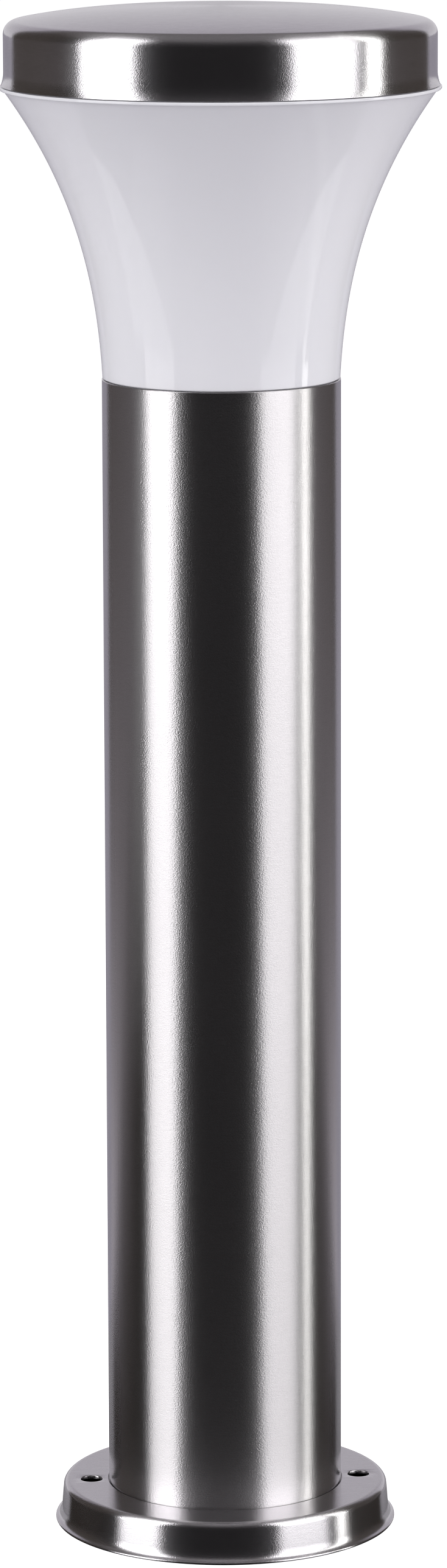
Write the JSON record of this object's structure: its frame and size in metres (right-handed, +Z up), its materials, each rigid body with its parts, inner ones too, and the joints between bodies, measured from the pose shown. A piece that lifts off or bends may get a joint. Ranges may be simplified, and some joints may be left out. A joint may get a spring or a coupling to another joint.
{
  "type": "bollard light",
  "caption": "Low round bollard light: brushed steel column on a flanged foot plate, flared opal diffuser under a shallow domed steel lid.",
  "frame": {"origin": "middle of the ground face, under the column's axis", "axes": "+Z up along the column; the two anchor holes lie on the X axis; -Y is the front"},
  "size_m": [0.1396, 0.1396, 0.4937],
  "materials": {
    "brushed_tube": "fine brushing around the tube, grey",
    "pressed_steel": "bright pressed sheet, lightly brushed",
    "zinc_steel": "zinc plated, matt silver",
    "opal_diffuser": "glossy opal white",
    "bulb_opal": "opal white inside coating",
    "rubber": "matt black",
    "silicone": "translucent grey white",
    "ceramic": "glazed ceramic, off white",
    "nylon": "natural nylon",
    "brass": "plain brass",
    "nickel": "nickel plated",
    "black_insulator": "black glass",
    "live_sleeve": "brown insulation",
    "neutral_sleeve": "blue insulation",
    "earth_sleeve": "green and yellow insulation"
  },
  "bodies": {
    "column": {"base_plate": "pressed_steel", "foot_disc": "zinc_steel", "cable_grommet": "rubber", "cord_bracket": "zinc_steel", "cord_clamp": "nylon", "cord_clamp_screw_left": "zinc_steel", "cord_clamp_screw_right": "zinc_steel", "tube": "brushed_tube", "tie_rod_front": "zinc_steel", "tie_rod_rear": "zinc_steel", "base_washer_front": "zinc_steel", "base_washer_rear": "zinc_steel", "base_nut_front": "zinc_steel", "base_nut_rear": "zinc_steel", "foot_nut_front": "zinc_steel", "foot_nut_rear": "zinc_steel", "carrier_lower_nut_front": "zinc_steel", "carrier_lower_nut_rear": "zinc_steel", "carrier_upper_nut_front": "zinc_steel", "carrier_upper_nut_rear": "zinc_steel", "lamp_carrier": "zinc_steel", "leaf_clip_1": "nickel", "leaf_clip_2": "nickel", "leaf_clip_3": "nickel", "clip_rivet_1": "zinc_steel", "clip_rivet_2": "zinc_steel", "clip_rivet_3": "zinc_steel", "lampholder_body": "ceramic", "lampholder_insert": "ceramic", "lampholder_shell": "brass", "lampholder_contact": "brass", "holder_nipple": "zinc_steel", "nipple_nut": "zinc_steel", "block_bracket": "zinc_steel", "terminal_block": "nylon", "block_screw": "zinc_steel", "earth_screw": "brass", "earth_nut": "brass", "earth_lug": "nickel", "live_lead": "live_sleeve", "neutral_lead": "neutral_sleeve", "earth_lead": "earth_sleeve"},
    "neck_seal": {"neck_o_ring": "rubber"},
    "head": {"cap": "pressed_steel", "cap_seal": "silicone", "diffuser": "opal_diffuser"},
    "bulb": {"bulb_glass": "bulb_opal", "bulb_screw_cap": "nickel", "bulb_insulator": "black_insulator", "bulb_contact": "nickel"}
  },
  "joints": [
    {"name": "head_lift", "type": "slide", "parent": "column", "child": "neck_seal", "axis": [0, 0, 1], "range_m": [0, 0.115]},
    {"name": "head_turn", "type": "hinge", "parent": "neck_seal", "child": "head", "pos_m": [0, 0, 0.365], "axis": [0, 0, 1], "continuous": true},
    {"name": "bulb_out", "type": "slide", "parent": "column", "child": "bulb", "axis": [0, 0, 1], "range_m": [0, 0.027]}
  ]
}
